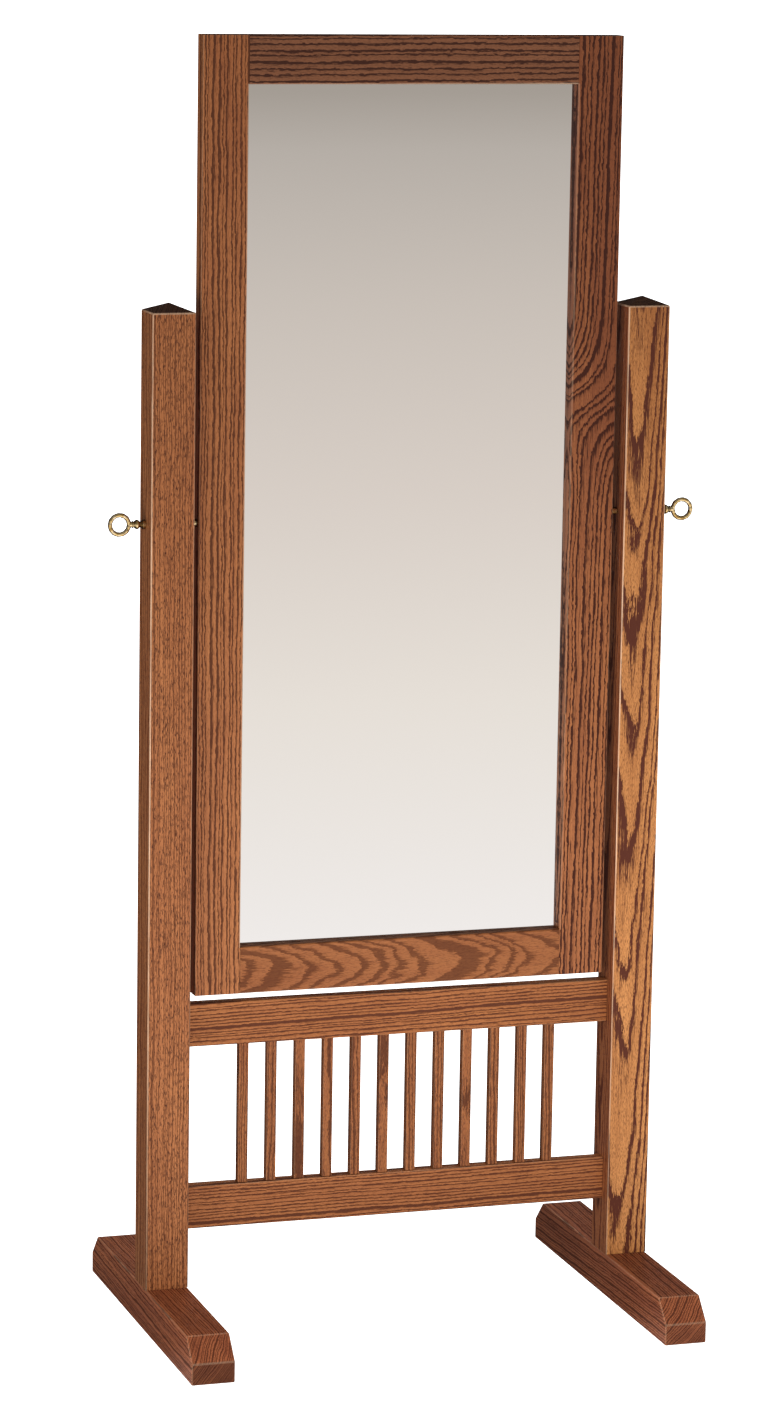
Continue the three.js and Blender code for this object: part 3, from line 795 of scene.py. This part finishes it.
# %% Backing panel
def plywood(panel_low_y, panel_high_y):
    material, tree = new_material("birch_plywood")
    figure = noise_mm(tree, 22, 3.0, (1, 1, 9))
    pores = noise_mm(tree, 0.9, 1.0, (1, 1, 14))
    face = ramp(tree, figure, [(0.35, linear("#b28c5d")), (0.5, linear("#bb9566")),
                               (0.68, linear("#c39e6e"))])
    dots = ramp(tree, pores, [(0.60, grey(0.0)), (0.72, grey(0.6))])
    face = mix(tree, dots, face, linear("#7d5a35"))
    place = add(tree, "ShaderNodeTexCoord").outputs["Object"]
    depth = add(tree, "ShaderNodeSeparateXYZ", {0: place}).outputs["Y"]
    through = add(tree, "ShaderNodeMapRange", {"Value": depth, "From Min": panel_low_y,
                                               "From Max": panel_high_y}).outputs[0]
    outer, glue, core = linear("#b38c5d"), linear("#4b3320"), linear("#8a6540")
    layers = ramp(tree, through, [(0.0, outer), (0.31, outer), (0.33, glue), (0.36, core), (0.64, core),
                                  (0.67, glue), (0.69, outer), (1.0, outer)])
    flat = add(tree, "ShaderNodeMath", {0: facing_share(tree, (0, 1, 0), 0.5, 0.8),
                                        1: facing_share(tree, (0, -1, 0), 0.5, 0.8)}, operation="ADD")
    colour = mix(tree, flat.outputs[0], layers, face)
    rough = mix(tree, figure, grey(0.62), grey(0.8))
    relief = add(tree, "ShaderNodeBump", {"Height": pores, "Strength": 0.3, "Distance": 0.0002})
    shader = add(tree, "ShaderNodeBsdfPrincipled", {"Base Color": colour, "Roughness": rough,
                                                    "Normal": relief.outputs[0]})
    add(tree, "ShaderNodeOutputMaterial", {"Surface": shader.outputs[0]})
    return material


low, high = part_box("backing_panel")
bm = merged_copy("backing_panel")
rim = [e for x in (low.x, high.x) for y in (low.y, high.y) for e in edges_on(bm, x=x, y=y)]
rim += [e for z in (low.z, high.z) for y in (low.y, high.y) for e in edges_on(bm, z=z, y=y)]
bmesh.ops.bevel(bm, geom=rim, offset=0.0004, segments=2, profile=0.5, affect="EDGES")
finished("backing_panel_ply", bm, plywood(low.y, high.y), "mirror", "plywood", "backing_panel")
print("the backing is", round((high.y - low.y) * 1000, 1), "mm thick, with", len(rim), "softened edges")

# %% [markdown]
# ## Turning small metal parts
# Screws, washers and tubes are all turned on a lathe, so one function makes them: it takes the outline
# from the axis outwards and repeats it round the axis as rings of points. Real ones also have threads
# and hexagons, which a plain outline can't give. So the function may pass each point through a rule
# that changes its radius by how far along and how far round it is: a thread is a ridge that moves one
# pitch along for each turn, and a hexagon is a radius that dips between six corners.

# %% Lathe
def lathed(outline, sides, rule=None, closed=False):
    """A solid turned about X from (along, radius) points, as a bmesh. A closed outline joins up into
    a tube. rule(along, radius, angle) may change a radius."""
    bm = bmesh.new()
    rings = []
    for along, radius in outline:
        ring = []
        for i in range(sides):
            angle = math.tau * i / sides
            r = rule(along, radius, angle) if rule else radius
            ring.append(bm.verts.new((along, r * math.cos(angle), r * math.sin(angle))))
        rings.append(ring)
    pairs = list(zip(rings, rings[1:])) + ([(rings[-1], rings[0])] if closed else [])
    for first, second in pairs:
        for i in range(sides):
            j = (i + 1) % sides
            bm.faces.new((first[i], first[j], second[j], second[i]))
    if not closed:
        for ring in (rings[0], rings[-1]):
            bm.faces.new(ring)
    bmesh.ops.recalc_face_normals(bm, faces=bm.faces)
    return bm


def thread(start, end, pitch, depth):
    """A rule that cuts a V thread of this pitch and depth into the outside between start and end."""
    def cut(along, radius, angle):
        if not start <= along <= end:
            return radius
        turn = (along / pitch - angle / math.tau) % 1.0
        return radius - depth * abs(2 * turn - 1)
    return cut


def stepped(start, end, radius, step):
    """Outline points every step, so that a thread has points to move."""
    count = max(2, round((end - start) / step))
    return [(start + (end - start) * i / count, radius) for i in range(count + 1)]


def smoothed(mesh, sharp_degrees=32):
    """Smooth shading, with a hard line where faces meet at more than this angle."""
    for polygon in mesh.polygons:
        polygon.use_smooth = True
    mesh.set_sharp_from_angle(angle=math.radians(sharp_degrees))
    return mesh


def moved(bm, place, turn=Matrix.Identity(3)):
    bm.transform(Matrix.Translation(place) @ turn.to_4x4())
    return bm


TURN_BACK = Matrix.Rotation(math.pi, 3, "Z")        # right-hand pieces, used on the left
SIDES = {"left": (-1, TURN_BACK), "right": (1, Matrix.Identity(3))}
print("one outline serves both sides:", ", ".join(SIDES))

# %% [markdown]
# ## Brass
# The ring screws are cast in sand, cleaned up on the lathe and lightly polished. Their faces that
# point front and back are pale, partly polished bright by fingers and partly a painted highlight, and
# the rims between are dark brown, partly patina and partly painted shade for the dark reflection
# along a rim. So the way that each face points decides how bright it is. A soft cloud pattern a few
# millimetres wide keeps the bright brass uneven, as casting leaves it, with pale cream patches that
# are partly painted highlight, and a finer one drives the gloss and the skin together.

# %% Brass finish
def cast_brass():
    material, tree = new_material("cast_brass_lightly_polished")
    cloud = noise_mm(tree, 5, 3.0)
    skin = noise_mm(tree, 0.8, 2.0)
    polished_and_highlit = ramp(tree, cloud, [(0.32, linear("#b08a4e")), (0.45, linear("#d9b878")),
                                (0.6, linear("#efd5a4")), (0.8, linear("#fbe9c8"))])
    front = facing_share(tree, (0, -1, 0), 0.45, 0.9)
    back = facing_share(tree, (0, 1, 0), 0.45, 0.9)
    faces_front_or_back = add(tree, "ShaderNodeMath", {0: front, 1: back}, operation="ADD").outputs[0]
    # Painted highlight and shade: pale brass front and back, dark brown on the rims, which is partly
    # patina.
    colour = mix(tree, faces_front_or_back, linear("#4a3216"), polished_and_highlit)
    rough = ramp(tree, skin, [(0.3, grey(0.16)), (0.7, grey(0.32))])
    relief = add(tree, "ShaderNodeBump", {"Height": skin, "Strength": 0.25, "Distance": 0.0001})
    shader = add(tree, "ShaderNodeBsdfPrincipled", {
        "Base Color": colour, "Metallic": 1.0, "Roughness": rough, "Normal": relief.outputs[0]})
    add(tree, "ShaderNodeOutputMaterial", {"Surface": shader.outputs[0]})
    return material


brass = cast_brass()
print("made", brass.name)

# %% [markdown]
# ## The ring screws
# Each ring screw is one casting: a ring that a finger can turn, a neck, a round bead, and a shank that
# is threaded at its tip. The stem is turned and the ring is a round wire bent in a circle, with the
# faint lumps of a casting, and the two are joined into one watertight solid with an exact boolean. The
# ring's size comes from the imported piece, so that it stays in its room.

# %% Ring screws
FACE_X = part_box("right_post")[1].x                  # the right post's outer face
ring_low, ring_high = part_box("right_ring_screw")
RING_OUTER = (ring_high.z - ring_low.z) / 2
RING_WIRE = 0.0031
RING_MEAN = RING_OUTER - RING_WIRE
RING_CENTRE = ring_high.x - FACE_X - RING_OUTER
BEAD_START, BEAD_END = 0.0072, 0.0154
BEAD_RADIUS = (ring_high.y - ring_low.y) / 2
SHANK, WAIST, STEM = 0.003, 0.0034, 0.0037          # radii: the shank, and at the bead's two ends
TIP = ring_low.x - FACE_X
THREAD_START, THREAD_END = TIP + 0.001, TIP + 0.022
THREAD_PITCH, THREAD_DEPTH = 0.00127, 0.0006
CAST_LUMPS, LUMP_DEPTH = 13, 0.00028


def turned_bead(count=20):
    """A half wave from the waist to the stem, as outline points."""
    points = []
    for i in range(count + 1):
        t = i / count
        taper = WAIST + (STEM - WAIST) * t
        points.append((BEAD_START + (BEAD_END - BEAD_START) * t,
                       taper + (BEAD_RADIUS - taper) * math.sin(math.pi * t)))
    return points


def ring_screw_stem():
    pointed_tip = [(TIP, 0.0017), (TIP + 0.0008, 0.0025)]
    threaded = stepped(THREAD_START, THREAD_END, SHANK, THREAD_PITCH / 8)
    seat = [(0.0050, SHANK), (0.0050, 0.0043), (0.0053, 0.0046), (0.0060, 0.0046), (0.0064, 0.0041),
            (0.0067, WAIST)]
    fillet = [(0.0160, STEM), (0.0163, 0.0044), (0.0167, 0.0047), (0.0172, 0.0047), (0.0176, 0.0044),
              (0.0179, STEM)]
    neck = [(0.0195, STEM - 0.0002), (RING_CENTRE - RING_MEAN, STEM - 0.0001)]
    return lathed(pointed_tip + threaded + seat + turned_bead() + fillet + neck, 32,
                  thread(THREAD_START, THREAD_END, THREAD_PITCH, THREAD_DEPTH))


def cast_ring(around=104, across=16):
    """A round wire bent in a circle in the XZ plane, a little thinner between the lumps."""
    bm = bmesh.new()
    loops = []
    for i in range(around):
        turn = math.tau * i / around
        wire = RING_WIRE - LUMP_DEPTH * (0.5 - 0.5 * math.cos(CAST_LUMPS * turn))
        loop = []
        for j in range(across):
            roll = math.tau * j / across
            out = RING_MEAN + wire * math.cos(roll)
            loop.append(bm.verts.new((RING_CENTRE + out * math.cos(turn), wire * math.sin(roll),
                                      out * math.sin(turn))))
        loops.append(loop)
    for i in range(around):
        first, second = loops[i], loops[(i + 1) % around]
        for j in range(across):
            k = (j + 1) % across
            bm.faces.new((first[j], first[k], second[k], second[j]))
    bmesh.ops.recalc_face_normals(bm, faces=bm.faces)
    return bm


def as_object(name, bm):
    thing = bpy.data.objects.new(name, as_mesh(name, bm))
    bpy.context.scene.collection.objects.link(thing)
    return thing


def united(name, *solids):
    """One watertight mesh from several solids that overlap."""
    first, *others = [as_object(f"{name}_{i}", bm) for i, bm in enumerate(solids)]
    for other in others:
        union = first.modifiers.new("union", "BOOLEAN")
        union.operation, union.solver, union.object = "UNION", "EXACT", other
    evaluated = first.evaluated_get(bpy.context.evaluated_depsgraph_get())
    mesh = bpy.data.meshes.new_from_object(evaluated)
    for thing in (first, *others):
        bpy.data.objects.remove(thing)
    return mesh


pivot_z = (ring_low.z + ring_high.z) / 2
for side, (sign, turn) in SIDES.items():
    mesh = united(f"{side}_ring_screw", ring_screw_stem(), cast_ring())
    mesh.transform(Matrix.Translation((sign * FACE_X, 0, pivot_z)) @ turn.to_4x4())
    placed(f"{side}_ring_screw_brass", smoothed(mesh), brass, f"{side}_screw", "brass",
           f"{side}_ring_screw")
    print(side, "ring screw:", len(mesh.polygons), "faces, with a ring", round(RING_OUTER * 2000, 1),
          "mm across")

# %% [markdown]
# ## Washers, spacers and inserts
# The rest of each pivot is turned from brass bar: a thick collar between the bead and the post, a
# spacer that holds the frame off the post, and an insert sunk into the stile. All three are tubes with
# their edges broken by a small chamfer. The insert also has a coarse outside thread that bites into
# the wood.

# %% Turned brass tubes
BORE = 0.0034
CHAMFER = 0.0005
INSERT_PITCH, INSERT_DEPTH = 0.0025, 0.0008         # the insert's thread in the wood


def tube_outline(length, outer, bore, steps=()):
    """A closed outline with chamfered corners. steps are extra points along the outside."""
    return [(0, bore + CHAMFER), (0, outer - CHAMFER), (CHAMFER, outer), *steps,
            (length - CHAMFER, outer), (length, outer - CHAMFER), (length, bore + CHAMFER),
            (length - CHAMFER, bore), (CHAMFER, bore)]


def collar_steps(length, outer):
    """A shallow turned groove round the middle of a collar."""
    middle = length / 2
    return [(middle - 0.0007, outer), (middle - 0.0004, outer - 0.0004),
            (middle + 0.0004, outer - 0.0004), (middle + 0.0007, outer)]


def thread_outside(length, outer):
    """A rule that cuts the insert's thread, and leaves its bore alone."""
    cut = thread(0.001, length - 0.001, INSERT_PITCH, INSERT_DEPTH)

    def rule(along, radius, angle):
        return cut(along, radius, angle) if radius > outer - 1e-6 else radius
    return rule


tubes = {"ring_washer": "{}_washer", "spacer": "stand", "threaded_insert": "mirror"}    # and bodies
for side, (sign, turn) in SIDES.items():
    for kind, body in tubes.items():
        low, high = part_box(f"{side}_{kind}")
        length, outer = high.x - low.x, (high.z - low.z) / 2
        steps, rule = (), None
        if kind == "ring_washer":
            steps = collar_steps(length, outer)
        if kind == "threaded_insert":
            steps = stepped(0.001, length - 0.001, outer, INSERT_PITCH / 10)
            rule = thread_outside(length, outer)
        bm = lathed(tube_outline(length, outer, BORE, steps), 32, rule, closed=True)
        inner_x = low.x if sign > 0 else high.x
        mesh = as_mesh(f"{side}_{kind}_brass", moved(bm, (inner_x, 0, pivot_z), turn))
        placed(mesh.name, smoothed(mesh), brass, body.format(side), "brass", f"{side}_{kind}")
    print(side, "washer, spacer and insert turned")

# %% [markdown]
# ## Zinc-plated screws and bolts
# Ordinary steel hardware has a thin zinc coat, which is a cool grey with a cloudy bloom and fine
# tumbling marks. It holds the backing in the frame, and the posts on the feet. Each kind is made once,
# and Geometry Nodes puts one on each of a set of points, turned at random about its own axis as
# screws always are.

# %% Zinc finish
def bright_zinc():
    material, tree = new_material("bright_zinc_plated_steel")
    bloom = noise_mm(tree, 2.5, 3.0)
    marks = noise_mm(tree, 0.6, 1.0)
    colour = ramp(tree, bloom, [(0.35, linear("#8e9293")), (0.5, linear("#aeb1b1")),
                                (0.7, linear("#c3c3bd"))])
    rough = ramp(tree, marks, [(0.35, grey(0.28)), (0.65, grey(0.46))])
    relief = add(tree, "ShaderNodeBump", {"Height": marks, "Strength": 0.2, "Distance": 0.00005})
    shader = add(tree, "ShaderNodeBsdfPrincipled", {
        "Base Color": colour, "Metallic": 1.0, "Roughness": rough, "Normal": relief.outputs[0]})
    add(tree, "ShaderNodeOutputMaterial", {"Surface": shader.outputs[0]})
    return material


zinc = bright_zinc()


def one_on_each_tree(**inputs):
    """Puts a copy of Fastener on each vertex of Places, turned at random up to Turn, in radians."""
    tree, given, out = new_tree("one_on_each", **inputs)
    points = add(tree, "GeometryNodeObjectInfo", {"Object": given.outputs["Places"]})
    fastener = add(tree, "GeometryNodeObjectInfo", {"Object": given.outputs["Fastener"]})
    spin = add(tree, "FunctionNodeRandomValue", {
        "Max": given.outputs["Turn"], "Seed": given.outputs["Seed"]}, data_type="FLOAT_VECTOR")
    turned = add(tree, "FunctionNodeEulerToRotation", {0: spin.outputs[0]})
    copies = add(tree, "GeometryNodeInstanceOnPoints", {
        "Points": points.outputs["Geometry"], "Instance": fastener.outputs["Geometry"],
        "Rotation": turned.outputs[0]})
    real = add(tree, "GeometryNodeRealizeInstances", {0: copies.outputs[0]})
    painted = add(tree, "GeometryNodeSetMaterial", {"Geometry": real.outputs[0],
                                                    "Material": given.outputs["Finish"]})
    tree.links.new(painted.outputs[0], out.inputs["Mesh"])
    return tree


def fasteners(name, bm, places, turn, body, nodes, seed):
    """One mesh with a copy of bm at each place."""
    fastener = as_object(f"{name}_one", bm)
    marks = bpy.data.meshes.new(f"{name}_places")
    marks.from_pydata([tuple(p) for p in places], [], [])
    points = bpy.data.objects.new(marks.name, marks)
    bpy.context.scene.collection.objects.link(points)
    inputs = {"Fastener": fastener, "Places": points, "Turn": Vector(turn), "Seed": seed,
              "Finish": zinc}
    mesh = made_by(one_on_each_tree(**inputs), name, **inputs)
    for thing in (fastener, points):
        bpy.data.objects.remove(thing)
    return placed(name, smoothed(mesh), zinc, body, "zinc_steel", *nodes)


print("made", zinc.name)

# %% [markdown]
# ## The backing screws
# Pan-head wood screws hold the backing panel, four on each stile and one on each rail of the frame.
# The head is a turned curve with a cross cut into it, and the cutter's arms narrow with depth, as a
# driver's do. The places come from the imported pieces.

# %% Backing screws
PAN_HEAD, PAN_HEIGHT, SCREW_SHANK = 0.0035, 0.0023, 0.0015      # radius, height, radius
SCREW_PITCH, SCREW_DEPTH = 0.0012, 0.0004
RECESS_ARM, RECESS_WIDTH, RECESS_DEPTH = 0.0034, 0.0007, 0.0013     # a cross recess
RECESS_NARROWS = 0.55               # an arm's length at the bottom, as a share of its length on top


def pan_head_screw(length):
    """A wood screw along X, with its seat under the head at zero and its point at -length."""
    head = [(PAN_HEIGHT * math.sin(a), PAN_HEAD * math.cos(a) ** 0.6)
            for a in (math.radians(d) for d in (10, 25, 40, 55, 68, 78))]
    thread_start, thread_end = -length + 0.0022, -0.002
    outline = [(-length, 0.0001), (-length + 0.002, SCREW_SHANK * 0.85)]
    outline += stepped(thread_start, thread_end, SCREW_SHANK, SCREW_PITCH / 6)
    outline += [(0, SCREW_SHANK), (0, PAN_HEAD - 0.0002), (0.0002, PAN_HEAD)] + head
    body = as_object("pan_head", lathed(outline, 20, thread(thread_start, thread_end, SCREW_PITCH,
                                                            SCREW_DEPTH)))
    cutters = []
    for turn in (0, math.pi / 2):
        bar = bmesh.new()
        bmesh.ops.create_cube(bar, size=1)
        for vert in bar.verts:
            deep = vert.co.x < 0
            along = PAN_HEIGHT - RECESS_DEPTH if deep else PAN_HEIGHT + 0.001
            arm = RECESS_ARM * RECESS_NARROWS if deep else RECESS_ARM
            vert.co = Vector((along, vert.co.y * arm, vert.co.z * RECESS_WIDTH))
        moved(bar, (0, 0, 0), Matrix.Rotation(turn, 3, "X"))
        cutters.append(as_object("recess", bar))
    for cutter in cutters:
        recess = body.modifiers.new("recess", "BOOLEAN")
        recess.operation, recess.solver, recess.object = "DIFFERENCE", "EXACT", cutter
    made = bmesh.new()
    made.from_mesh(bpy.data.meshes.new_from_object(
        body.evaluated_get(bpy.context.evaluated_depsgraph_get())))
    for thing in (body, *cutters):
        bpy.data.objects.remove(thing)
    return made


screws = sorted(n for n in frame["nodes"] if n.startswith("backing_screw_"))
boxes = [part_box(n) for n in screws]
seat_y = boxes[0][1].y - PAN_HEIGHT
screw_length = seat_y - boxes[0][0].y
screw = moved(pan_head_screw(screw_length), (0, 0, 0), Matrix.Rotation(math.pi / 2, 3, "Z"))
places = [((low.x + high.x) / 2, seat_y, (low.z + high.z) / 2) for low, high in boxes]
piece = fasteners("backing_screws", screw, places, (0, math.tau, 0), "mirror", screws, seed=3)
print(len(screws), "backing screws in", len(piece.data.polygons), "faces")

# %% [markdown]
# ## The foot bolts
# Two hexagon bolts come up through each foot into its post, each on a flat washer, in holes sunk from
# below. The hexagon isn't cut: the lathe's rule dips the radius between six corners, and the turned
# outline's slope leaves the rounded chamfer that a real head has.

# %% Foot bolts and washers
HEAD_HEIGHT, HEAD_FLAT, BOLT_SHANK = 0.0055, 0.0065, 0.004      # the last two as radii
M8_PITCH, M8_DEPTH = 0.00125, 0.0007


def hex_bolt(length):
    """A bolt along X: its head starts at 0, and its shank runs on to length."""
    corner = HEAD_FLAT * 2 / math.sqrt(3)
    thread_start, thread_end = length * 0.45, length - 0.001
    cut = thread(thread_start, thread_end, M8_PITCH, M8_DEPTH)

    def rule(along, radius, angle):
        if along > HEAD_HEIGHT - 1e-6:
            return cut(along, radius, angle)
        flat = HEAD_FLAT / math.cos((angle + math.pi / 6) % (math.pi / 3) - math.pi / 6)
        return min(radius, flat)

    head = [(0, HEAD_FLAT * 0.92), (0.0008, corner), (HEAD_HEIGHT - 0.0004, corner)]
    washer_face = [(HEAD_HEIGHT - 0.0004, HEAD_FLAT * 0.94), (HEAD_HEIGHT, HEAD_FLAT * 0.94)]
    plain = [(HEAD_HEIGHT, BOLT_SHANK), (thread_start - 0.0005, BOLT_SHANK)]
    threaded = stepped(thread_start, thread_end, BOLT_SHANK, M8_PITCH / 5)
    return lathed(head + washer_face + plain + threaded + [(length, BOLT_SHANK - 0.001)], 36, rule)


UPRIGHT = Matrix.Rotation(-math.pi / 2, 3, "Y")     # turns a lathed piece's X onto Z
ends = [f"{side}_{end}" for side in SIDES for end in ("front", "rear")]
bolts = [f"{end}_foot_bolt" for end in ends]
washers = [f"{end}_bolt_washer" for end in ends]
middles = [sum(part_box(n), Vector()) / 2 for n in bolts]
low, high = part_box(bolts[0])
bolt = moved(hex_bolt(high.z - low.z), (0, 0, 0), UPRIGHT)
fasteners("foot_bolts", bolt, [(m.x, m.y, low.z) for m in middles], (0, 0, math.tau), "stand",
          bolts, seed=5)
low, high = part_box(washers[0])
outline = tube_outline(high.z - low.z, (high.x - low.x) / 2, BOLT_SHANK + 0.0004)
washer = moved(lathed(outline, 40, closed=True), (0, 0, 0), UPRIGHT)
fasteners("foot_bolt_washers", washer, [(m.x, m.y, low.z) for m in middles], (0, 0, math.tau),
          "stand", washers, seed=5)
print(len(bolts), "bolts and", len(washers), "washers under the feet")
